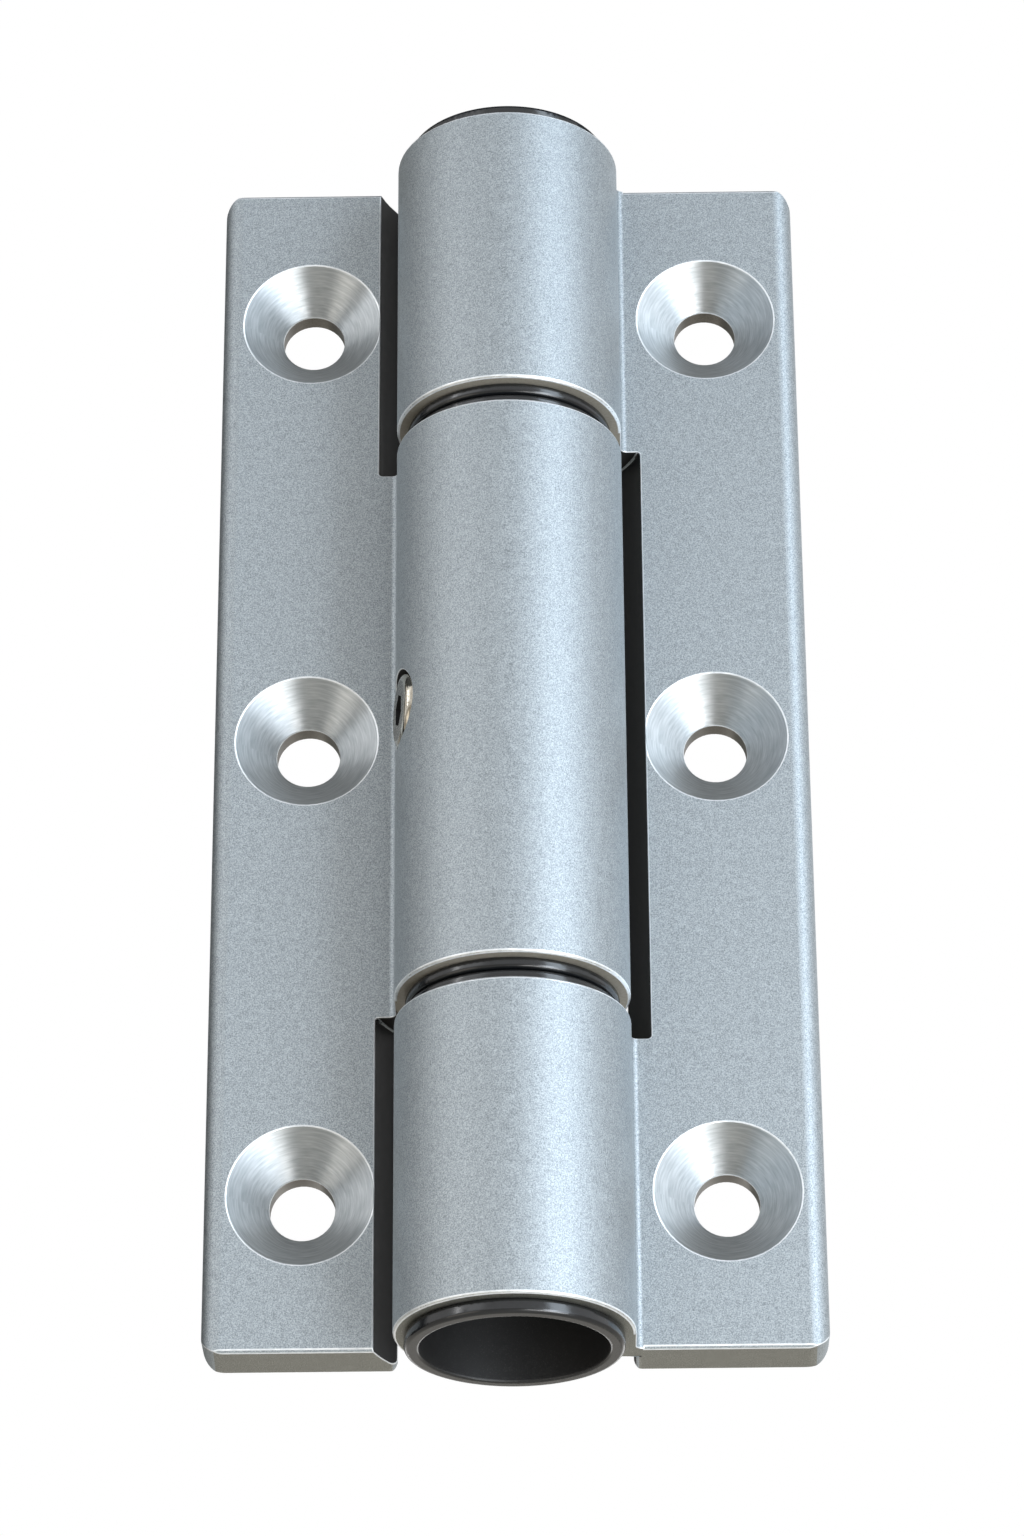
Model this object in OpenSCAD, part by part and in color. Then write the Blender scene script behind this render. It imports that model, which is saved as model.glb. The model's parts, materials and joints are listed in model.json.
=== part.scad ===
// Pivot hinge: two milled aluminium leaves that turn on a steel pin in flanged plastic bushes.
// The frame leaf (-X) carries the long middle knuckle, and a grub screw there holds the pin.
// The door leaf (+X) carries the two outer knuckles and swings towards -Y.
// Z runs up the pin axis, Y points to the back of the leaves, and the origin is on the axis at
// mid-height. The leaves are shown flat, as on a closed door.

/* [Leaves] */
// Width over both leaves when they lie flat
overall_w = 60; // [56:1:100]
// Length of each leaf along the pin
leaf_l = 130; // [122:1:240]
// Thickness of each leaf
leaf_t = 6; // [5.2:0.2:10]
// Rounding of the long outer edge at the front
edge_front_r = 2; // [0.6:0.1:2.4]
// Rounding of the long outer edge at the back
edge_back_r = 1.6; // [0.6:0.1:2.4]
// Rounding of the inner edge at the back, beside the barrel
edge_inner_r = 1.2; // [0.4:0.1:1.6]
// Rounding of the outer corners, seen from the front
corner_r = 2.2; // [0.6:0.1:4]
// Rounding of the inner corners beside the barrel, seen from the front
inner_corner_r = 0.8; // [0.3:0.1:1.2]
// How far the leaves' inner edges reach in behind the sides of the barrel
reach_in = 0.2; // [0.1:0.05:0.5]
// Edge break along the top and bottom ends
end_break = 0.3; // [0.1:0.05:0.8]

/* [Screw holes] */
// Clearance hole for the fixing screw
hole_d = 6.4; // [4.2:0.1:7.4]
// Diameter of the 90 degree countersink at the face
csk_d = 14.4; // [12:0.1:15.6]
// From the outer long edge to the hole centres
hole_edge = 9.4; // [8.6:0.1:10.4]
// From a leaf's end to the centre of its nearest hole
hole_end = 16; // [10:0.5:24]
// Holes in each leaf
hole_count = 3; // [2:1:4]

/* [Barrel] */
// Outside diameter of the knuckles
barrel_d = 23; // [22:0.2:25]
// How far the pin axis stands in front of the leaves' front faces
axis_front = 4; // [3.2:0.1:5]
// Length of the frame leaf's middle knuckle
middle_l = 61; // [50:1:68]
// Room between a knuckle and the pocket milled for it in the other leaf
swing_gap = 2.6; // [1.6:0.1:3.4]
// Corner rounding at the closed ends of the pockets
pocket_r = 0.35; // [0.2:0.05:1.2]
// Thickness of the web that joins a knuckle to its leaf
web_t = 2.1; // [1.4:0.1:3]
// Fillet between a knuckle and the front face of its leaf
root_r = 0.7; // [0.3:0.1:1.2]
// Edge break at the ends of the knuckles
knuckle_break = 0.2; // [0.1:0.05:0.6]

/* [Bushes] */
// Diameter of all bush flanges
flange_d = 20.9; // [19.8:0.1:21.4]
// Thickness of the flanges between two knuckles
flange_t = 1.2; // [0.8:0.1:2]
// Thickness of the flanges at the two ends of the barrel
end_flange_t = 1.5; // [1:0.1:3]
// Rounding of the flanges' rims
flange_round = 0.45; // [0.2:0.05:0.5]
// Axial play between the two flanges that run on each other
flange_play = 0.1; // [0.05:0.05:0.2]
// Wall of the bush sleeves round the pin
sleeve_wall = 1.2; // [0.8:0.1:1.4]
// Length of the sleeves behind the inner flanges
sleeve_l = 12; // [8:0.5:14]
// Space left between the two bushes of an outer knuckle
sleeve_apart = 2; // [1:0.5:4]
// Open mouth of the end bushes, which takes a cap
mouth_d = 18; // [17.2:0.1:18.4]
// Depth of that mouth, from the end of the barrel
mouth_depth = 10; // [8:0.5:11]
// Wall round the mouth
mouth_wall = 0.8; // [0.6:0.1:1]
// Floor between the mouth and the sleeve of an end bush
mouth_floor = 1.5; // [1:0.1:2]
// Rounding of the mouth's edge and of the ends of the sleeves
bush_break = 0.3; // [0.1:0.05:0.5]

/* [Pin] */
// Diameter of the pin
pin_d = 14; // [12.4:0.1:14.4]
// How far the pin's ends stand back from the floors of the mouths
pin_inset = 0.5; // [0.2:0.1:2]
// Chamfer at both ends of the pin
pin_chamfer = 1; // [0.4:0.1:1.6]
// Width of the turned groove that takes the grub screw's point
groove_w = 9; // [7:0.5:12]
// Depth of that groove
groove_depth = 0.5; // [0.2:0.1:0.8]

/* [Grub screw] */
// Thread size of the grub screw
grub_d = 8; // [6:0.5:8.5]
// Turn of its axis from the front of the barrel towards the frame leaf, in degrees
grub_turn = 78; // [60:1:82]
// How far its outer end stands out of the barrel
grub_proud = -0.1; // [-0.5:0.05:0.3]
// Rounding of its outer rim
grub_round = 0.9; // [0.4:0.1:1]
// Chamfer down to its point
grub_point = 1.2; // [0.8:0.1:1.4]
// Width across flats of its hexagon socket
socket_af = 3; // [2.5:0.5:4.5]
// Depth of the socket
socket_depth = 2.8; // [2:0.1:3]
// Clear mouth of the threaded hole
grub_mouth_d = 8.3; // [8.2:0.1:9.6]
// Depth of that mouth below the barrel's surface
grub_mouth_depth = 1.2; // [0.8:0.1:1.6]

/* [Clearances] */
// Radial play of the pin in its bushes
running_gap = 0.05; // [0.02:0.01:0.09]
// Radial play of a bush, or of the fixed pin, in its knuckle
seat_gap = 0.02; // [0.01:0.01:0.05]
// Radial play of the grub screw in its hole
thread_gap = 0.05; // [0.02:0.01:0.1]

/* [Hidden] */
$fn = 96;
past = 1;  // how far cutting shapes run past the faces they cut
aluminium = "#b4bcc4";
black_plastic = "#1c1c1e";
steel = "#8f9296";
nickel = "#a59f92";

half_w = overall_w / 2;
half_l = leaf_l / 2;
barrel_r = barrel_d / 2;
pocket_reach = barrel_r + swing_gap;
leaf_back = axis_front + leaf_t;
leaf_inner = barrel_r - reach_in;
hole_x = half_w - hole_edge;
hole_pitch = (leaf_l - 2 * hole_end) / (hole_count - 1);

knuckle_gap = 2 * flange_t + flange_play;
middle_end = middle_l / 2;
outer_start = middle_end + knuckle_gap;
outer_l = half_l - outer_start;

pin_r = pin_d / 2;
sleeve_in = pin_r + running_gap;
sleeve_out = sleeve_in + sleeve_wall;
mouth_r = mouth_d / 2;
mouth_out = mouth_r + mouth_wall;
end_bush_l = outer_l - sleeve_l - sleeve_apart;
pin_l = leaf_l - 2 * (mouth_depth + pin_inset);

grub_r = grub_d / 2 - thread_gap;
grub_start = pin_r - groove_depth + thread_gap;
grub_end = barrel_r + grub_proud;

// Cuts the corner at the origin, which points to +X and +Y, back to an arc of radius r.
module corner_cut(r) {
    translate([-r, -r])
        difference() {
            square(r + past);
            circle(r);
        }
}

// Section of the door leaf's plate, on the +X side.
module plate_profile() {
    difference() {
        translate([leaf_inner, axis_front])
            square([half_w - leaf_inner, leaf_t]);
        translate([half_w, axis_front])
            mirror([0, 1])
                corner_cut(edge_front_r);
        translate([half_w, leaf_back])
            corner_cut(edge_back_r);
        translate([leaf_inner, leaf_back])
            mirror([1, 0])
                corner_cut(edge_inner_r);
    }
}

// Section of the web and the fillet that join a knuckle to its plate.
module root_profile() {
    difference() {
        union() {
            square([barrel_r, axis_front + web_t]);
            translate([barrel_r - root_r, axis_front - root_r])
                square([2 * root_r, root_r + web_t]);
        }
        translate([barrel_r + root_r, axis_front - root_r])
            circle(root_r);
    }
}

// The plate, with rounded corners and broken edges at both ends.
module plate() {
    difference() {
        linear_extrude(leaf_l, center = true)
            plate_profile();
        for (end = [0, 1])
            mirror([0, 0, end]) {
                translate([half_w, leaf_back + past, half_l])
                    rotate([90, 0, 0])
                        linear_extrude(leaf_t + 2 * past)
                            corner_cut(corner_r);
                translate([leaf_inner, leaf_back + past, half_l])
                    rotate([90, 0, 0])
                        linear_extrude(leaf_t + 2 * past)
                            mirror([1, 0])
                                corner_cut(inner_corner_r);
                for (face = [axis_front, leaf_back])
                    translate([half_w, face, half_l])
                        rotate([45, 0, 0])
                            cube([overall_w, end_break * sqrt(2), end_break * sqrt(2)], center = true);
            }
    }
}

// Room for the other leaf's knuckle, from z0 to z1, as a form cutter leaves it.
module pocket(z0, z1) {
    rotate_extrude()
        difference() {
            translate([0, z0])
                square([pocket_reach, z1 - z0]);
            translate([pocket_reach, z1])
                corner_cut(pocket_r);
            translate([pocket_reach, z0])
                mirror([0, 1])
                    corner_cut(pocket_r);
        }
}

// A knuckle from z0 to z1, with the root that joins it to the plate.
module knuckle(z0, z1) {
    translate([0, 0, z0])
        linear_extrude(z1 - z0)
            root_profile();
    rotate_extrude()
        polygon([
            [0, z0], [barrel_r - knuckle_break, z0], [barrel_r, z0 + knuckle_break],
            [barrel_r, z1 - knuckle_break], [barrel_r - knuckle_break, z1], [0, z1]
        ]);
}

// The row of countersunk holes.
module screw_holes() {
    for (i = [0 : hole_count - 1])
        translate([hole_x, axis_front, (i - (hole_count - 1) / 2) * hole_pitch])
            rotate([-90, 0, 0]) {
                cylinder(d = hole_d, h = leaf_t + past);
                cylinder(r1 = csk_d / 2, r2 = 0, h = csk_d / 2);
            }
}

// Turns what lies along +X onto the grub screw's axis.
module on_grub_axis() {
    rotate([0, 0, 270 - grub_turn])
        rotate([0, 90, 0])
            children();
}

// The frame leaf, with the middle knuckle.
module frame_leaf() {
    color(aluminium)
        difference() {
            mirror([1, 0, 0]) {
                difference() {
                    plate();
                    pocket(middle_end, half_l + past + pocket_r);
                    pocket(-half_l - past - pocket_r, -middle_end);
                    screw_holes();
                }
                knuckle(-middle_end, middle_end);
            }
            cylinder(r = pin_r + seat_gap, h = middle_l + 2 * past, center = true);
            for (end = [0, 1])
                mirror([0, 0, end])
                    translate([0, 0, middle_end - sleeve_l])
                        cylinder(r = sleeve_out + seat_gap, h = sleeve_l + past);
            on_grub_axis()
                cylinder(d = grub_d, h = barrel_d);
            on_grub_axis()
                translate([0, 0, barrel_r - grub_mouth_depth])
                    cylinder(d = grub_mouth_d, h = barrel_d);
        }
}

// The door leaf, with the two outer knuckles.
module door_leaf() {
    color(aluminium)
        difference() {
            union() {
                difference() {
                    plate();
                    pocket(-outer_start, outer_start);
                    screw_holes();
                }
                knuckle(outer_start, half_l);
                knuckle(-half_l, -outer_start);
            }
            for (end = [0, 1])
                mirror([0, 0, end]) {
                    translate([0, 0, outer_start - past])
                        cylinder(r = sleeve_out + seat_gap, h = outer_l + 2 * past);
                    translate([0, 0, half_l - mouth_depth - mouth_floor])
                        cylinder(r = mouth_out + seat_gap, h = mouth_depth + mouth_floor + past);
                }
        }
}

// The pin, turned from bar, with the groove for the grub screw at mid-length.
module hinge_pin() {
    half = pin_l / 2;
    color(steel)
        rotate_extrude()
            polygon([
                [0, -half], [pin_r - pin_chamfer, -half], [pin_r, pin_chamfer - half],
                [pin_r, -groove_w / 2 - groove_depth], [pin_r - groove_depth, -groove_w / 2],
                [pin_r - groove_depth, groove_w / 2], [pin_r, groove_w / 2 + groove_depth],
                [pin_r, half - pin_chamfer], [pin_r - pin_chamfer, half], [0, half]
            ]);
}

// The grub screw, from its point in the groove to its socket end at the barrel's surface.
module grub_screw() {
    color(nickel)
        on_grub_axis()
            difference() {
                rotate_extrude()
                    difference() {
                        polygon([
                            [0, grub_start], [grub_r - grub_point, grub_start],
                            [grub_r, grub_start + grub_point], [grub_r, grub_end], [0, grub_end]
                        ]);
                        translate([grub_r, grub_end])
                            corner_cut(grub_round);
                    }
                translate([0, 0, grub_end - socket_depth])
                    cylinder(r = socket_af / sqrt(3), h = socket_depth + past, $fn = 6);
            }
}

// Rounds both corners of a flange's rim. The flange, of thickness t, stands on z = 0.
module rim_cuts(t) {
    translate([flange_d / 2, t])
        corner_cut(flange_round);
    translate([flange_d / 2, 0])
        mirror([0, 1])
            corner_cut(flange_round);
}

// A bush whose flange stands on z = 0 and whose sleeve goes down into its knuckle.
module inner_bush() {
    color(black_plastic)
        rotate_extrude()
            difference() {
                union() {
                    translate([sleeve_in, 0])
                        square([flange_d / 2 - sleeve_in, flange_t]);
                    translate([sleeve_in, -sleeve_l])
                        square([sleeve_wall, sleeve_l + flange_t / 2]);
                }
                rim_cuts(flange_t);
                translate([sleeve_out, -sleeve_l])
                    mirror([0, 1])
                        corner_cut(bush_break);
            }
}

// An end bush: flange and open mouth at the barrel's end, then a floor and a sleeve on the pin.
module end_bush() {
    floor_z = -mouth_depth - mouth_floor;
    color(black_plastic)
        rotate_extrude()
            difference() {
                union() {
                    translate([mouth_r, 0])
                        square([flange_d / 2 - mouth_r, end_flange_t]);
                    translate([mouth_r, floor_z])
                        square([mouth_wall, end_flange_t / 2 - floor_z]);
                    translate([sleeve_in, floor_z])
                        square([mouth_out - sleeve_in, mouth_floor]);
                    translate([sleeve_in, -end_bush_l])
                        square([sleeve_wall, end_bush_l - mouth_depth]);
                }
                rim_cuts(end_flange_t);
                translate([mouth_r, end_flange_t])
                    mirror([1, 0])
                        corner_cut(bush_break);
                translate([sleeve_out, -end_bush_l])
                    mirror([0, 1])
                        corner_cut(bush_break);
            }
}

module upper_end_bush() {
    translate([0, 0, half_l])
        end_bush();
}

module upper_door_bush() {
    translate([0, 0, outer_start])
        mirror([0, 0, 1])
            inner_bush();
}

module upper_frame_bush() {
    translate([0, 0, middle_end])
        inner_bush();
}

module lower_frame_bush() {
    mirror([0, 0, 1])
        upper_frame_bush();
}

module lower_door_bush() {
    mirror([0, 0, 1])
        upper_door_bush();
}

module lower_end_bush() {
    mirror([0, 0, 1])
        upper_end_bush();
}

frame_leaf();
door_leaf();
hinge_pin();
grub_screw();
upper_end_bush();
upper_door_bush();
upper_frame_bush();
lower_frame_bush();
lower_door_bush();
lower_end_bush();
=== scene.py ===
import json
import math

import bmesh
import bpy
from mathutils import Matrix, Quaternion, Vector


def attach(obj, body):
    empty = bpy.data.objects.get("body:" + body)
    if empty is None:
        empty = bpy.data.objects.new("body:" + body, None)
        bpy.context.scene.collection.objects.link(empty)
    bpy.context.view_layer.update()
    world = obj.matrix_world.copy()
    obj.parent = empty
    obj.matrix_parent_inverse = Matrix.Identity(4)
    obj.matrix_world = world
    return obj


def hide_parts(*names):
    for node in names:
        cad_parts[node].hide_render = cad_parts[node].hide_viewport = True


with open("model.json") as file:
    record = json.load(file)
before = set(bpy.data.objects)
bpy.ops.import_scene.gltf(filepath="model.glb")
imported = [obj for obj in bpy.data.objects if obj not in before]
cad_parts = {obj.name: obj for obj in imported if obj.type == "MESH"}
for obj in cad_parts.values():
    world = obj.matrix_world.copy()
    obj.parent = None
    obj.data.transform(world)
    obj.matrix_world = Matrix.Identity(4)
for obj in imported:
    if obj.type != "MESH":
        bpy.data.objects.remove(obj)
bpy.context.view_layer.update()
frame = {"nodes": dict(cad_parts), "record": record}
nodes = frame["nodes"]
mounts = {m["name"]: m for m in frame["record"]["mounts"]}

# Each leaf's three screw holes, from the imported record, in metres.
endHoles = mounts["frame_leaf_end_holes"]
hole = {
    "x": abs(endHoles["pos_m"][0]),
    "pitch": endHoles["dims"]["spacing_y_mm"] / 1000 / 2,  # the third hole is midway
    "radius": endHoles["dims"]["hole_r_mm"] / 1000,
}


def linear(hexColour):
    shares = [int(hexColour[i:i + 2], 16) / 255 for i in (1, 3, 5)]
    light = [s / 12.92 if s <= 0.04045 else ((s + 0.055) / 1.055) ** 2.4 for s in shares]
    return (*light, 1.0)


# Adds a node, sets or links its inputs, and gives a colour ramp its stops.
def addNode(tree, kind, inputs=None, stops=(), **settings):
    item = tree.nodes.new(kind)
    for name, value in settings.items():
        setattr(item, name, value)
    for key, value in (inputs or {}).items():
        if isinstance(value, bpy.types.NodeSocket):
            tree.links.new(value, item.inputs[key])
        else:
            item.inputs[key].default_value = value
    for number, (position, colour) in enumerate(stops):
        item.color_ramp.elements[number].position = position
        item.color_ramp.elements[number].color = linear(colour)
    return item


def newMaterial(name):
    material = bpy.data.materials.new(name)
    material.use_nodes = True
    material.node_tree.nodes.clear()
    return material, material.node_tree


# A noise pattern lies mostly between these values, so a finish's two colours are spread over
# tones, and its least and greatest roughness from low to high.
noise = {"tones": (0.3, 0.7), "low": 0.25, "high": 0.75}

# Bead-blasted, silver-anodised aluminium: satin, slightly blue, with a fine mottled grain.
blasted = {
    "name": "blastedAnodisedAluminium", "colours": ("#798085", "#bfc6ca"),
    "grain": 0.00013,  # a blast dimple is about 0.1 mm; drawn wider so that it shows
    "cloud": 0.0008,  # the oxide's faint patches, a little under 1 mm
    "cloudShare": 0.2,
    "roughness": (0.54, 0.62),
    "dimple": 0.000009,
}
# Sawn ends of the leaves, top and bottom: blasted with the rest, but painted a darker, warmer
# grey, as painted shade and a painted warm floor reflection like the undersides get.
shadedEnds = {"name": "shadedEndAluminium", "colours": ("#6e6e68", "#a9a9a2")}


def blastedAluminium(settings):
    material, tree = newMaterial(settings["name"])
    place = addNode(tree, "ShaderNodeTexCoord").outputs["Object"]
    grain = addNode(tree, "ShaderNodeTexNoise", {
        "Vector": place, "Scale": 1 / blasted["grain"], "Detail": 2.0,
        "Roughness": 0.6}).outputs["Fac"]
    cloud = addNode(tree, "ShaderNodeTexNoise", {
        "Vector": place, "Scale": 1 / blasted["cloud"], "Detail": 3.0,
        "Roughness": 0.7}).outputs["Fac"]
    both = addNode(tree, "ShaderNodeMix", {
        "Factor": blasted["cloudShare"], "A": grain, "B": cloud}).outputs["Result"]
    colour = addNode(tree, "ShaderNodeValToRGB", {"Fac": both},
                     stops=zip(noise["tones"], settings["colours"])).outputs["Color"]
    roughness = addNode(tree, "ShaderNodeMapRange", {
        "Value": cloud, "From Min": noise["low"], "From Max": noise["high"],
        "To Min": blasted["roughness"][0], "To Max": blasted["roughness"][1]}).outputs["Result"]
    bump = addNode(tree, "ShaderNodeBump", {
        "Distance": blasted["dimple"], "Height": grain}).outputs["Normal"]
    shader = addNode(tree, "ShaderNodeBsdfPrincipled", {
        "Base Color": colour, "Metallic": 1.0, "Roughness": roughness, "Normal": bump})
    addNode(tree, "ShaderNodeOutputMaterial", {"Surface": shader.outputs["BSDF"]})
    return material


# Countersinks turned after the blast: brighter metal with fine rings round each hole.
turned = {
    "colours": ("#a6abae", "#c4c8ca"),
    "ring": 0.00016,  # feed marks are about 0.1 mm apart; drawn wider so that they show
    "speck": 0.0002,  # torn grains are under 0.1 mm; drawn wider so that they show
    "sweep": 2.5,  # how much each ring changes on its way round
    "ringDepth": 0.0000013, "speckDepth": 0.0000022,
    "anisotropy": 0.9, "roughness": (0.33, 0.4),
}


def turnedAluminium():
    material, tree = newMaterial("turnedAluminium")
    place = addNode(tree, "ShaderNodeTexCoord").outputs["Object"]

    # across and along are measured from the middle of the nearest hole
    axes = addNode(tree, "ShaderNodeSeparateXYZ", {"Vector": place})
    side = addNode(tree, "ShaderNodeMath", {0: axes.outputs["X"]}, operation="SIGN").outputs[0]
    centre = addNode(tree, "ShaderNodeMath", {0: side, 1: hole["x"]},
                     operation="MULTIPLY").outputs[0]
    across = addNode(tree, "ShaderNodeMath", {0: axes.outputs["X"], 1: centre},
                     operation="SUBTRACT").outputs[0]
    along = addNode(tree, "ShaderNodeMath", {
        0: axes.outputs["Z"], 1: hole["pitch"] / 2, 2: -hole["pitch"] / 2},
        operation="WRAP").outputs[0]
    flat = addNode(tree, "ShaderNodeCombineXYZ", {"X": across, "Z": along}).outputs[0]
    radius = addNode(tree, "ShaderNodeVectorMath", {0: flat}, operation="LENGTH").outputs["Value"]
    angle = addNode(tree, "ShaderNodeMath", {0: along, 1: across},
                    operation="ARCTAN2").outputs[0]

    # rings: noise that changes fast with the radius and slowly round the hole
    turns = addNode(tree, "ShaderNodeMath", {0: radius, 1: 1 / turned["ring"]},
                    operation="MULTIPLY").outputs[0]
    sweep = addNode(tree, "ShaderNodeMath", {0: angle, 1: turned["sweep"]},
                    operation="MULTIPLY").outputs[0]
    polar = addNode(tree, "ShaderNodeCombineXYZ", {"X": turns, "Y": sweep}).outputs[0]
    rings = addNode(tree, "ShaderNodeTexNoise", {
        "Vector": polar, "Scale": 1.0, "Detail": 2.0}).outputs["Fac"]
    speck = addNode(tree, "ShaderNodeTexNoise", {
        "Vector": place, "Scale": 1 / turned["speck"], "Detail": 2.0}).outputs["Fac"]
    bumpRings = addNode(tree, "ShaderNodeBump", {
        "Distance": turned["ringDepth"], "Height": rings}).outputs["Normal"]
    bump = addNode(tree, "ShaderNodeBump", {
        "Distance": turned["speckDepth"], "Height": speck, "Normal": bumpRings}).outputs["Normal"]
    tangent = addNode(tree, "ShaderNodeVectorMath", {0: flat},
                      operation="NORMALIZE").outputs["Vector"]

    colour = addNode(tree, "ShaderNodeValToRGB", {"Fac": rings},
                     stops=zip(noise["tones"], turned["colours"])).outputs["Color"]
    roughness = addNode(tree, "ShaderNodeMapRange", {
        "Value": speck, "From Min": noise["low"], "From Max": noise["high"],
        "To Min": turned["roughness"][0], "To Max": turned["roughness"][1]}).outputs["Result"]
    shader = addNode(tree, "ShaderNodeBsdfPrincipled", {
        "Base Color": colour, "Metallic": 1.0, "Roughness": roughness,
        "Anisotropic": turned["anisotropy"], "Tangent": tangent, "Normal": bump})
    addNode(tree, "ShaderNodeOutputMaterial", {"Surface": shader.outputs["BSDF"]})
    return material


# Edges: every broken edge outside the pockets is painted pale, a painted highlight, so that they
# read as light lines.
edge = {
    "name": "paintedHighlightEdge", "colours": ("#cfd4d8", "#f1f3f4"), "metallic": 0.55,
    "roughness": (0.28, 0.4),
    "wear": 0.0009,  # the pale paint varies along an edge about every millimetre
    "detail": 4.0, "fineness": 0.7, "depth": 0.000003,
}
# Knuckle rims: chamfered on the lathe after the blast, bright bare metal.
rim = {
    "name": "turnedRim", "colours": ("#c6cacb", "#e6e8e8"), "metallic": 0.95,
    "roughness": (0.24, 0.34),
    "wear": 0.0006,  # the tool's chatter, about 0.6 mm from mark to mark
    "detail": 4.0, "fineness": 0.7, "depth": 0.000003,
}
# Knuckle ends: faced with a cutter and duller, painted a warmer grey as a painted reflection of
# the warm floor, and near-black painted shade past the barrel's radius, between the parts.
faced = {
    "name": "facedEndWithShade", "colours": ("#8f8a7f", "#a6a196"), "metallic": 0.35,
    "roughness": (0.4, 0.5),
    "wear": 0.0003,  # cutter marks are about 0.1 mm apart; drawn wider so that they show
    "detail": 4.0, "fineness": 0.7, "depth": 0.000003,
    "radius": 0.0116, "shadeBeyond": "#1b1b1b",
}
# Drilled walls of the screw holes: painted darker and warmer than the faces, as painted shade
# inside the holes.
bored = {
    "name": "shadedHoleWall", "colours": ("#56534d", "#6a6760"), "metallic": 1.0,
    "roughness": (0.3, 0.42),
    "wear": 0.0002,  # drill marks are about 0.1 mm apart; drawn wider so that they show
    "detail": 2.0, "fineness": 0.5, "depth": 0.000004,
}
# Nickel plate on the grub screw: mirror-like and warm, with fine polishing lines.
nickel = {
    "name": "nickelPlate", "colours": ("#a7a194", "#c5bfb3"), "metallic": 1.0,
    "roughness": (0.07, 0.15),
    "wear": 0.0002,  # polishing lines are under 0.05 mm apart; drawn wider so that they show
    "detail": 2.0, "fineness": 0.5, "depth": 0.000002,
}
# The grub screw's flat end: turned before it was plated, so it is duller than its round rim.
spun = {
    "name": "spunNickel", "colours": ("#5f5b51", "#7a766a"), "metallic": 1.0,
    "roughness": (0.2, 0.32),
    "wear": 0.0004,  # turning marks are about 0.1 mm apart; drawn wider so that they show
    "detail": 4.0, "fineness": 0.7, "depth": 0.000003,
}


def bareMetal(settings):
    material, tree = newMaterial(settings["name"])
    place = addNode(tree, "ShaderNodeTexCoord").outputs["Object"]
    wear = addNode(tree, "ShaderNodeTexNoise", {
        "Vector": place, "Scale": 1 / settings["wear"], "Detail": settings["detail"],
        "Roughness": settings["fineness"]}).outputs["Fac"]
    bump = addNode(tree, "ShaderNodeBump", {
        "Distance": settings["depth"], "Height": wear}).outputs["Normal"]
    colour = addNode(tree, "ShaderNodeValToRGB", {"Fac": wear},
                     stops=zip(noise["tones"], settings["colours"])).outputs["Color"]
    # past the given radius the colour turns to a near-black painted shade
    if "shadeBeyond" in settings:
        flat = addNode(tree, "ShaderNodeVectorMath", {0: place, 1: (1, 1, 0)},
                       operation="MULTIPLY").outputs[0]
        radius = addNode(tree, "ShaderNodeVectorMath", {0: flat},
                         operation="LENGTH").outputs["Value"]
        outside = addNode(tree, "ShaderNodeMath", {0: radius, 1: settings["radius"]},
                          operation="GREATER_THAN").outputs[0]
        colour = addNode(tree, "ShaderNodeMix", {
            "Factor": outside, 6: colour, 7: linear(settings["shadeBeyond"])},
            data_type="RGBA").outputs[2]
    roughness = addNode(tree, "ShaderNodeMapRange", {
        "Value": wear, "From Min": noise["low"], "From Max": noise["high"],
        "To Min": settings["roughness"][0], "To Max": settings["roughness"][1]}).outputs["Result"]
    shader = addNode(tree, "ShaderNodeBsdfPrincipled", {
        "Base Color": colour, "Metallic": settings["metallic"], "Roughness": roughness,
        "Normal": bump})
    addNode(tree, "ShaderNodeOutputMaterial", {"Surface": shader.outputs["BSDF"]})
    return material


# Milled pockets: deep and narrow, painted matt and near black as painted shade, the shade that
# fills them; the grub screw's hole and socket and the deep edges get it too.
pocket = {
    "colours": ("#181819", "#232324"), "roughness": (0.55, 0.65), "gloss": 0.25,
    "mark": 0.0008,  # the milling cutter steps about 0.8 mm
    "depth": 0.000004,
}


def paintedPocketShade():
    material, tree = newMaterial("paintedShadePocket")
    place = addNode(tree, "ShaderNodeTexCoord").outputs["Object"]
    mark = addNode(tree, "ShaderNodeTexNoise", {
        "Vector": place, "Scale": 1 / pocket["mark"], "Detail": 3.0}).outputs["Fac"]
    bump = addNode(tree, "ShaderNodeBump", {
        "Distance": pocket["depth"], "Height": mark}).outputs["Normal"]
    colour = addNode(tree, "ShaderNodeValToRGB", {"Fac": mark},
                     stops=zip(noise["tones"], pocket["colours"])).outputs["Color"]
    roughness = addNode(tree, "ShaderNodeMapRange", {
        "Value": mark, "From Min": noise["low"], "From Max": noise["high"],
        "To Min": pocket["roughness"][0], "To Max": pocket["roughness"][1]}).outputs["Result"]
    shader = addNode(tree, "ShaderNodeBsdfPrincipled", {
        "Base Color": colour, "Roughness": roughness, "Specular IOR Level": pocket["gloss"],
        "Normal": bump})
    addNode(tree, "ShaderNodeOutputMaterial", {"Surface": shader.outputs["BSDF"]})
    return material


# Acetal bushes, injection moulded: black, smooth, with a soft gloss and faint mould texture.
# Their bores are rougher, with pale specks.
acetal = {
    "colours": ("#0f1012", "#17191b"), "roughness": (0.15, 0.23), "gloss": 0.6,
    "fleck": 0.00035,  # the mould's texture is about 0.1 mm; drawn wider so that it shows
    "depth": 0.0000015,
    "boreColours": ("#0e0e0f", "#383837"), "boreRoughness": (0.5, 0.65),
    "boreTones": (0.55, 0.85),  # only the noise's peaks turn pale, as specks
    "grit": 0.00012,  # specks of about 0.1 mm
    "boreRadius": 0.00905,
}


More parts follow.
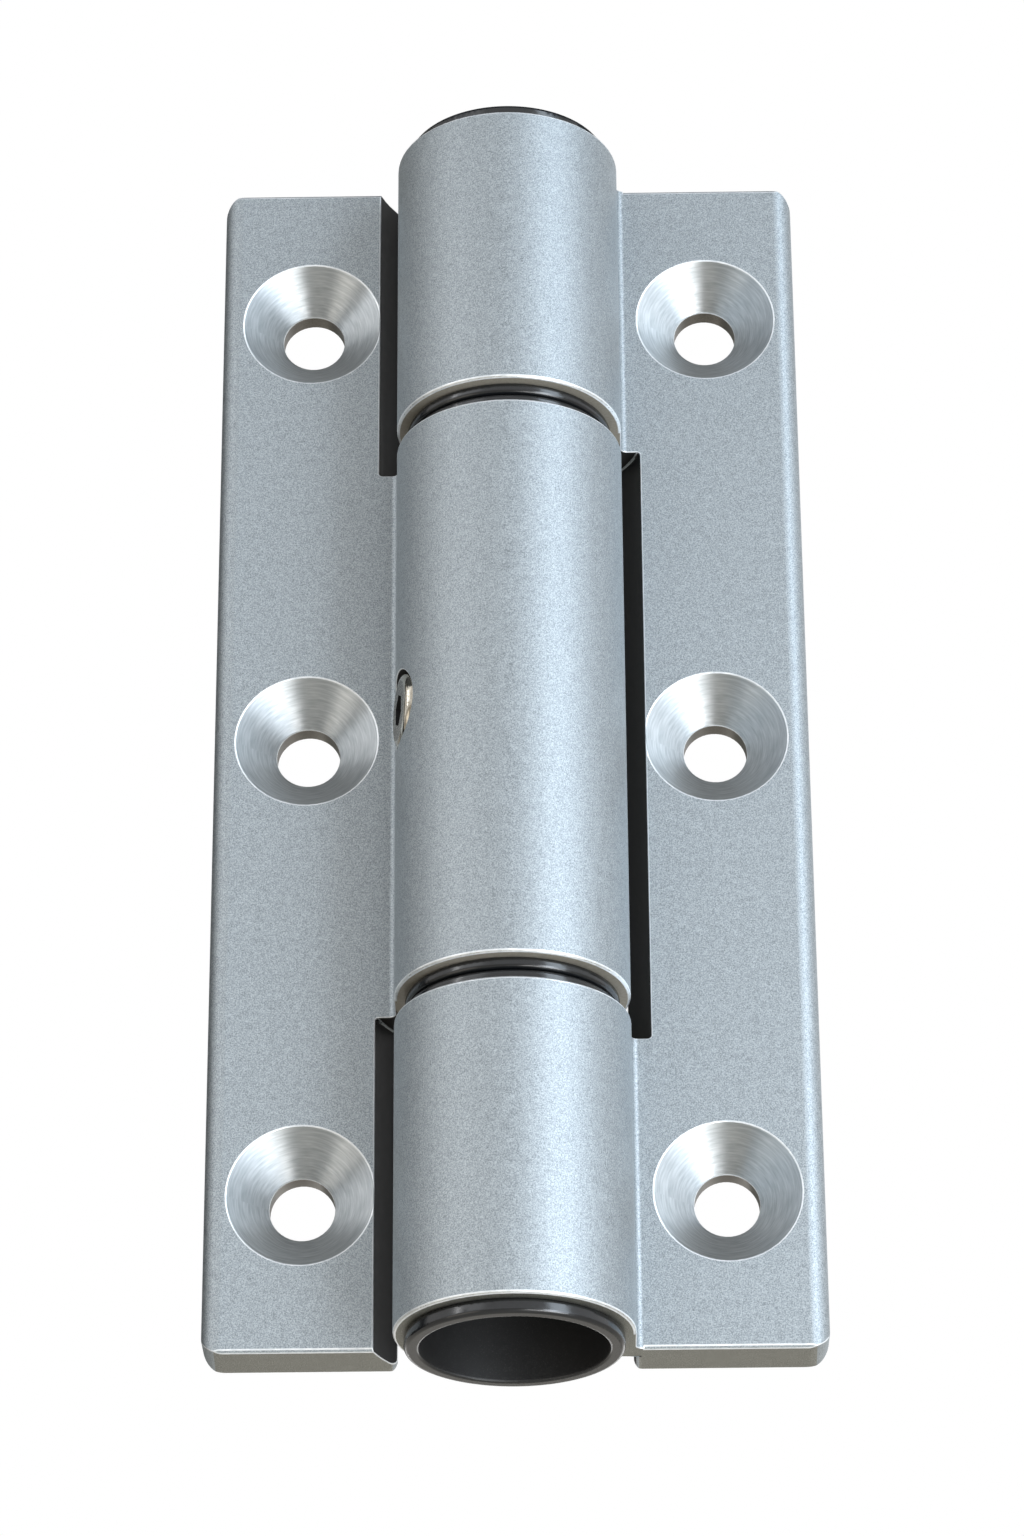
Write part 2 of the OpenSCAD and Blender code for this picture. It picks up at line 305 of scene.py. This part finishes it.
def blackAcetal():
    material, tree = newMaterial("blackAcetal")
    place = addNode(tree, "ShaderNodeTexCoord").outputs["Object"]
    fleck = addNode(tree, "ShaderNodeTexNoise", {
        "Vector": place, "Scale": 1 / acetal["fleck"], "Detail": 3.0,
        "Roughness": 0.7}).outputs["Fac"]
    grit = addNode(tree, "ShaderNodeTexNoise", {
        "Vector": place, "Scale": 1 / acetal["grit"], "Detail": 2.0}).outputs["Fac"]
    flat = addNode(tree, "ShaderNodeVectorMath", {0: place, 1: (1, 1, 0)},
                   operation="MULTIPLY").outputs[0]
    radius = addNode(tree, "ShaderNodeVectorMath", {0: flat}, operation="LENGTH").outputs["Value"]
    inBore = addNode(tree, "ShaderNodeMath", {0: radius, 1: acetal["boreRadius"]},
                     operation="LESS_THAN").outputs[0]
    skin = addNode(tree, "ShaderNodeValToRGB", {"Fac": fleck},
                   stops=zip(noise["tones"], acetal["colours"])).outputs["Color"]
    specks = addNode(tree, "ShaderNodeValToRGB", {"Fac": grit},
                     stops=zip(acetal["boreTones"], acetal["boreColours"])).outputs["Color"]
    colour = addNode(tree, "ShaderNodeMix", {"Factor": inBore, 6: skin, 7: specks},
                     data_type="RGBA").outputs[2]
    smooth = addNode(tree, "ShaderNodeMapRange", {
        "Value": fleck, "From Min": noise["low"], "From Max": noise["high"],
        "To Min": acetal["roughness"][0], "To Max": acetal["roughness"][1]}).outputs["Result"]
    rough = addNode(tree, "ShaderNodeMapRange", {
        "Value": grit, "From Min": noise["low"], "From Max": noise["high"],
        "To Min": acetal["boreRoughness"][0],
        "To Max": acetal["boreRoughness"][1]}).outputs["Result"]
    roughness = addNode(tree, "ShaderNodeMix", {
        "Factor": inBore, "A": smooth, "B": rough}).outputs["Result"]
    bump = addNode(tree, "ShaderNodeBump", {
        "Distance": acetal["depth"], "Height": fleck}).outputs["Normal"]
    shader = addNode(tree, "ShaderNodeBsdfPrincipled", {
        "Base Color": colour, "Roughness": roughness, "IOR": 1.5,
        "Specular IOR Level": acetal["gloss"], "Normal": bump})
    addNode(tree, "ShaderNodeOutputMaterial", {"Surface": shader.outputs["BSDF"]})
    return material


# The pin is centreless-ground steel: fine scratches run round it.
ground = {
    "colours": ("#84878a", "#a1a4a7"), "roughness": (0.22, 0.34),
    "scratch": 0.00015,  # scratches are under 0.05 mm apart; drawn wider so that they show
    "stretch": (0.02, 0.02, 1.0),  # a scratch is long round the pin and narrow along it
    "depth": 0.000002,
}


def groundSteel():
    material, tree = newMaterial("groundSteel")
    place = addNode(tree, "ShaderNodeTexCoord").outputs["Object"]
    stretched = addNode(tree, "ShaderNodeMapping", {
        "Vector": place, "Scale": ground["stretch"]}).outputs["Vector"]
    scratch = addNode(tree, "ShaderNodeTexNoise", {
        "Vector": stretched, "Scale": 1 / ground["scratch"], "Detail": 3.0}).outputs["Fac"]
    bump = addNode(tree, "ShaderNodeBump", {
        "Distance": ground["depth"], "Height": scratch}).outputs["Normal"]
    colour = addNode(tree, "ShaderNodeValToRGB", {"Fac": scratch},
                     stops=zip(noise["tones"], ground["colours"])).outputs["Color"]
    roughness = addNode(tree, "ShaderNodeMapRange", {
        "Value": scratch, "From Min": noise["low"], "From Max": noise["high"],
        "To Min": ground["roughness"][0], "To Max": ground["roughness"][1]}).outputs["Result"]
    shader = addNode(tree, "ShaderNodeBsdfPrincipled", {
        "Base Color": colour, "Metallic": 1.0, "Roughness": roughness, "Normal": bump})
    addNode(tree, "ShaderNodeOutputMaterial", {"Surface": shader.outputs["BSDF"]})
    return material


finishes = {
    "blasted": blastedAluminium(blasted), "shadedEnds": blastedAluminium(shadedEnds),
    "turned": turnedAluminium(), "bored": bareMetal(bored), "pocket": paintedPocketShade(),
    "edge": bareMetal(edge), "rim": bareMetal(rim), "faced": bareMetal(faced),
    "acetal": blackAcetal(), "nickel": bareMetal(nickel), "spun": bareMetal(spun),
    "steel": groundSteel(),
}
print("finishes made")

# A piece starts as a copy of its CAD solid, welded, with each flat face made whole again.
solid = {"weld": 0.000001, "flatWithin": 0.3, "flatWeight": 100}  # metres, degrees, shading


def solidMesh(node):
    bm = bmesh.new()
    bm.from_mesh(nodes[node].data)
    bmesh.ops.remove_doubles(bm, verts=bm.verts, dist=solid["weld"])
    bmesh.ops.dissolve_limit(bm, angle_limit=math.radians(solid["flatWithin"]), verts=bm.verts,
                             edges=bm.edges)
    return bm


def crispEdges(bm, leastAngle):
    least = math.radians(leastAngle)
    return [e for e in bm.edges if e.is_manifold and e.calc_face_angle(0) > least]


def placePiece(bm, name, body, materials, replaced):
    mesh = bpy.data.meshes.new(name)
    bm.to_mesh(mesh)
    bm.free()
    for finish in materials:
        mesh.materials.append(finishes[finish])
    for face in mesh.polygons:
        face.use_smooth = True
    piece = bpy.data.objects.new(name, mesh)
    bpy.context.scene.collection.objects.link(piece)
    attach(piece, body)
    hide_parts(*replaced)
    weighted = piece.modifiers.new("flatFaces", "WEIGHTED_NORMAL")
    weighted.weight = solid["flatWeight"]
    weighted.keep_sharp = True


# Leaves: blasted all over, countersinks turned and holes drilled afterwards. Every edge is
# broken a little. Sizes in metres, angles in degrees.
leaf = {
    "finishes": ["blasted", "turned", "bored", "pocket", "rim", "faced", "shadedEnds", "edge"],
    "edgeBreak": 0.00009, "segments": 2, "crisp": 25,
    "front": 0.004,  # the front faces lie this far behind the pin's axis
    "barrelRadius": 0.0115, "pocketRadius": 0.0141, "sinkRadius": 0.0072,
    "gaps": 0.04, "ends": 0.06,  # knuckle ends lie below the one height, leaf ends above the other
    "grubTurn": 78, "grubMouth": 0.00417, "grubSeat": 0.008,
    # how near to a surface's own place the middle of one of its faces lies
    "wallPlay": 0.0001, "webPlay": 0.0003, "chamferPlay": 0.0005,
    # how much of a face's normal points along y on a sink or a hole, and along z elsewhere
    "sinkLean": (0.6, 0.8), "holeLean": 0.2,
    "pocketLean": 0.7, "chamferLean": (0.647, 0.767), "endLean": 0.9,
    "sinkSegments": 96,
    "sinkInset": 1.2,  # a new cone stays this many edge breaks away from its rims
}


# The grub screw's axis, how far out a point is along it, and how far from it.
def alongGrub(point):
    turn = math.radians(leaf["grubTurn"])
    grubAxis = Vector((-math.sin(turn), -math.cos(turn), 0))
    depth = point.dot(grubAxis)
    return grubAxis, depth, (point - grubAxis * depth).length


def leafFinish(face):
    centre, normal = face.calc_center_median(), face.normal
    depth, fromGrub = alongGrub(centre)[1:]
    across = abs(centre.x) - hole["x"]
    along = (centre.z + hole["pitch"] / 2) % hole["pitch"] - hole["pitch"] / 2
    fromHole = math.hypot(across, along)
    fromPin = math.hypot(centre.x, centre.y)
    behindFront = centre.y - leaf["front"]
    lean, lift = abs(normal.y), abs(normal.z)
    # the grub screw's threaded hole gets the pockets' painted shade
    if leaf["grubSeat"] < depth < leaf["barrelRadius"] and fromGrub < leaf["grubMouth"]:
        return "pocket"
    if behindFront > 0 and fromHole < leaf["sinkRadius"]:
        if leaf["sinkLean"][0] < lean < leaf["sinkLean"][1]:
            return "turned"
        if abs(fromHole - hole["radius"]) < leaf["wallPlay"] and lean < leaf["holeLean"]:
            return "bored"
    if (leaf["barrelRadius"] + leaf["webPlay"] < fromPin < leaf["pocketRadius"]
            and behindFront > leaf["wallPlay"]):
        towardsPin = normal.x * centre.x + normal.y * centre.y < 0
        if towardsPin and lift < leaf["pocketLean"]:
            return "pocket"
    if leaf["chamferLean"][0] < lift < leaf["chamferLean"][1]:
        if abs(fromPin - leaf["barrelRadius"]) < leaf["chamferPlay"]:
            return "rim"
    if lift > leaf["endLean"]:
        # knuckle ends: painted warm reflection, and painted shade past the barrel
        if fromPin < leaf["barrelRadius"] and abs(centre.z) < leaf["gaps"]:
            return "faced"
        # leaf ends: painted shade with a painted warm reflection
        if abs(centre.z) > leaf["ends"]:
            return "shadedEnds"
    return "blasted"


# An edge deep in a pocket gets the pocket's painted shade, any other the pale painted highlight.
def breakEdges(bm, crisp):
    broken = bmesh.ops.bevel(bm, geom=crisp, offset=leaf["edgeBreak"], offset_type="OFFSET",
                             segments=leaf["segments"], profile=0.5, affect="EDGES",
                             clamp_overlap=False, material=-1)["faces"]
    for face in broken:
        centre = face.calc_center_median()
        deep = (centre.y > leaf["front"] + leaf["webPlay"]
                and math.hypot(centre.x, centre.y) < leaf["pocketRadius"])
        face.material_index = leaf["finishes"].index("pocket" if deep else "edge")


# The solid's triangles would show in the turned finish, so each countersink is cut again as
# one even cone.
def recutSinks(bm):
    turnedNumber = leaf["finishes"].index("turned")
    old = [f for f in bm.faces if f.material_index == turnedNumber]
    bmesh.ops.delete(bm, geom=old, context="FACES")
    side = math.copysign(hole["x"], sum(v.co.x for v in bm.verts))
    margin = leaf["edgeBreak"] * leaf["sinkInset"]
    depth = leaf["sinkRadius"] - hole["radius"]
    middle = leaf["front"] + depth / 2
    for height in (-hole["pitch"], 0.0, hole["pitch"]):
        place = Matrix.Translation((side, middle, height)) @ Matrix.Rotation(-math.pi / 2, 4, "X")
        cone = bmesh.ops.create_cone(
            bm, cap_ends=False, segments=leaf["sinkSegments"],
            radius1=leaf["sinkRadius"] - margin, radius2=hole["radius"] + margin,
            depth=depth - 2 * margin, matrix=place)["verts"]
        cut = {f for v in cone for f in v.link_faces}
        openEdges = [e for e in bm.edges
                     if e.is_boundary and abs(e.verts[0].co.z - height) < hole["pitch"] / 2]
        for mouth in ([e for e in openEdges if e.verts[0].co.y < middle],
                      [e for e in openEdges if e.verts[0].co.y > middle]):
            cut.update(bmesh.ops.bridge_loops(bm, edges=mouth)["faces"])
        for face in cut:
            face.material_index = turnedNumber
    bmesh.ops.recalc_face_normals(bm, faces=bm.faces)


for node, name, body in (("frame_leaf", "frameLeaf", "frame_side"),
                         ("door_leaf", "doorLeaf", "door_side")):
    bm = solidMesh(node)
    crisp = crispEdges(bm, leaf["crisp"])
    for face in bm.faces:
        face.material_index = leaf["finishes"].index(leafFinish(face))
    breakEdges(bm, crisp)
    recutSinks(bm)
    placePiece(bm, name, body, leaf["finishes"], [node])
print("leaves made")

# Bushes, pin and grub screw: the solid's own shape, with its edges shaded crisp.
small = {"crisp": 30}  # degrees


def makeSmall(node, name, body, materials, finishOf=None):
    bm = solidMesh(node)
    for line in crispEdges(bm, small["crisp"]):
        line.smooth = False
    for face in bm.faces:
        face.material_index = materials.index(finishOf(face)) if finishOf else 0
    placePiece(bm, name, body, materials, [node])


for node, name, body in (
        ("upper_end_bush", "upperEndBush", "door_side"),
        ("upper_door_bush", "upperDoorBush", "door_side"),
        ("upper_frame_bush", "upperFrameBush", "frame_side"),
        ("lower_frame_bush", "lowerFrameBush", "frame_side"),
        ("lower_door_bush", "lowerDoorBush", "door_side"),
        ("lower_end_bush", "lowerEndBush", "door_side")):
    makeSmall(node, name, body, ["acetal"])
makeSmall("hinge_pin", "hingePin", "frame_side", ["steel"])

# Grub screw: its flat end is spun metal, its socket painted dark as painted shade.
grub = {
    "finishes": ["nickel", "spun", "pocket"],
    "end": 0.0113, "endLean": 0.999,
    "socket": 0.0018, "socketLean": -0.5,
}


def grubFinish(face):
    grubAxis, depth, fromGrub = alongGrub(face.calc_center_median())
    outwards = face.normal.dot(grubAxis)
    if outwards > grub["endLean"] and depth > grub["end"]:
        return "spun"
    return "pocket" if outwards > grub["socketLean"] and fromGrub < grub["socket"] else "nickel"


makeSmall("grub_screw", "grubScrew", "frame_side", grub["finishes"], grubFinish)
print("bushes, pin and screw made")

# The camera looks up at the hinge from in front and below.
view = {
    "distance": 0.5, "azimuth": -0.65, "elevation": -26.48, "roll": -0.363,
    "aim": (0.000094, 0.0, -0.00534), "lens": 117.9, "nearest": 0.02, "farthest": 20,
}


def makeCamera():
    azimuth, elevation = math.radians(view["azimuth"]), math.radians(view["elevation"])
    ahead = Vector((math.sin(azimuth) * math.cos(elevation),
                    math.cos(azimuth) * math.cos(elevation), -math.sin(elevation)))
    roll = Quaternion((0, 0, 1), math.radians(view["roll"]))
    data = bpy.data.cameras.new("studioCamera")
    data.lens = view["lens"]
    data.clip_start, data.clip_end = view["nearest"], view["farthest"]
    camera = bpy.data.objects.new("studioCamera", data)
    camera.location = Vector(view["aim"]) - ahead * view["distance"]
    camera.rotation_mode = "QUATERNION"
    camera.rotation_quaternion = ahead.to_track_quat("-Z", "Y") @ roll
    bpy.context.scene.collection.objects.link(camera)
    bpy.context.scene.camera = camera


makeCamera()

# Soft boxes: level is how bright each looks, where the white background is 1.
softBoxes = {
    "tallStrip": {"azimuth": 47, "elevation": 0, "distance": 0.9, "width": 0.34, "height": 1.75,
                  "level": 5.4, "colour": "#e2f1ff"},
    "lowRight": {"azimuth": 38, "elevation": -42, "distance": 0.75, "width": 0.5, "height": 0.5,
                 "level": 1.4, "colour": "#ffffff"},
    "midRight": {"azimuth": 38, "elevation": -16, "distance": 0.8, "width": 0.2, "height": 0.5,
                 "level": 7.5, "colour": "#f2f8ff"},
    "lowTube": {"azimuth": 38, "elevation": -42, "distance": 0.74, "width": 0.5, "height": 0.035,
                "level": 22, "colour": "#ffffff"},
    "lowLeft": {"azimuth": -56, "elevation": -27, "distance": 0.9, "width": 0.5, "height": 0.4,
                "level": 1.1, "colour": "#fff6ea"},
    "leftTube": {"azimuth": -60, "elevation": 20, "distance": 0.8, "width": 0.03, "height": 0.5,
                 "level": 9, "colour": "#ffffff"},
    "rearFill": {"azimuth": 180, "elevation": -8, "distance": 1.0, "width": 0.9, "height": 0.36,
                 "level": 1.1, "colour": "#ffffff"},
    "leftFill": {"azimuth": -48, "elevation": 28, "distance": 0.9, "width": 0.5, "height": 0.6,
                 "level": 0.9, "colour": "#f6faff"},
}


# Azimuth 0 is in front of the hinge and 90 on its right; elevation is up from level.
def towards(azimuth, elevation):
    turn, rise = math.radians(azimuth), math.radians(elevation)
    return Vector((math.sin(turn) * math.cos(rise), -math.cos(turn) * math.cos(rise),
                   math.sin(rise)))


for name, box in softBoxes.items():
    lamp = bpy.data.lights.new(name, "AREA")
    lamp.shape = "RECTANGLE"
    lamp.size, lamp.size_y = box["width"], box["height"]
    lamp.energy = box["level"] * math.pi * box["width"] * box["height"]
    lamp.color = linear(box["colour"])[:3]
    holder = bpy.data.objects.new(name, lamp)
    direction = towards(box["azimuth"], box["elevation"])
    holder.location = direction * box["distance"]
    holder.rotation_euler = (-direction).to_track_quat("-Z", "Y").to_euler()
    holder.visible_camera = False
    bpy.context.scene.collection.objects.link(holder)

# Grey cards keep the metal from going flat: overhead, behind and close to the left edge.
cards = {
    "ceilingCard": {"azimuth": 0, "elevation": 90, "distance": 0.8, "width": 1.9, "height": 1.3,
                    "colour": "#5a5e62"},
    "darkCard": {"azimuth": -136, "elevation": 22, "distance": 0.85, "width": 1.1, "height": 0.9,
                 "colour": "#a5a4a0"},
    "backCard": {"azimuth": -172, "elevation": 24, "distance": 0.9, "width": 0.7, "height": 0.9,
                 "colour": "#868580"},
    "edgeCard": {"azimuth": -108, "elevation": 0, "distance": 0.052, "width": 0.026,
                 "height": 0.17, "colour": "#2c2d2e"},
}
floor = {"azimuth": 0, "elevation": -90, "distance": 0.85, "width": 20, "height": 20,
         "colour": "#d8d1c5"}


def plainMaterial(name, colour):
    material, tree = newMaterial(name)
    shader = addNode(tree, "ShaderNodeBsdfDiffuse", {"Color": linear(colour)})
    addNode(tree, "ShaderNodeOutputMaterial", {"Surface": shader.outputs["BSDF"]})
    return material


def makeSheet(name, azimuth, elevation, distance, width, height, colour, seen=False):
    bm = bmesh.new()
    bmesh.ops.create_grid(bm, x_segments=1, y_segments=1, size=0.5)
    bmesh.ops.scale(bm, vec=(width, height, 1), verts=bm.verts)
    mesh = bpy.data.meshes.new(name)
    bm.to_mesh(mesh)
    bm.free()
    mesh.materials.append(plainMaterial(name, colour))
    sheet = bpy.data.objects.new(name, mesh)
    direction = towards(azimuth, elevation)
    sheet.location = direction * distance
    sheet.rotation_euler = (-direction).to_track_quat("Z", "Y").to_euler()
    sheet.visible_camera = seen
    bpy.context.scene.collection.objects.link(sheet)


for name, card in cards.items():
    makeSheet(name, **card)
makeSheet("floor", **floor, seen=True)

# The world looks white to the camera and in reflections, and lights the hinge a little less.
studio = {"fill": "#f1f3f6", "fillLevel": 0.85}


def makeWorld():
    world = bpy.data.worlds.new("studio")
    world.use_nodes = True
    tree = world.node_tree
    tree.nodes.clear()
    path = addNode(tree, "ShaderNodeLightPath")
    seen = addNode(tree, "ShaderNodeMath", {
        0: path.outputs["Is Camera Ray"], 1: path.outputs["Is Glossy Ray"]},
        operation="MAXIMUM").outputs[0]
    seen = addNode(tree, "ShaderNodeMath", {0: seen, 1: path.outputs["Is Transmission Ray"]},
                   operation="MAXIMUM").outputs[0]
    fill = addNode(tree, "ShaderNodeBackground", {
        "Color": linear(studio["fill"]), "Strength": studio["fillLevel"]}).outputs[0]
    white = addNode(tree, "ShaderNodeBackground", {
        "Color": linear("#ffffff"), "Strength": 1.0}).outputs[0]
    mixed = addNode(tree, "ShaderNodeMixShader", {"Fac": seen, 1: fill, 2: white}).outputs[0]
    addNode(tree, "ShaderNodeOutputWorld", {"Surface": mixed})
    bpy.context.scene.world = world


makeWorld()
bpy.context.scene.view_settings.view_transform = "Standard"
print("camera, lamps and studio placed")
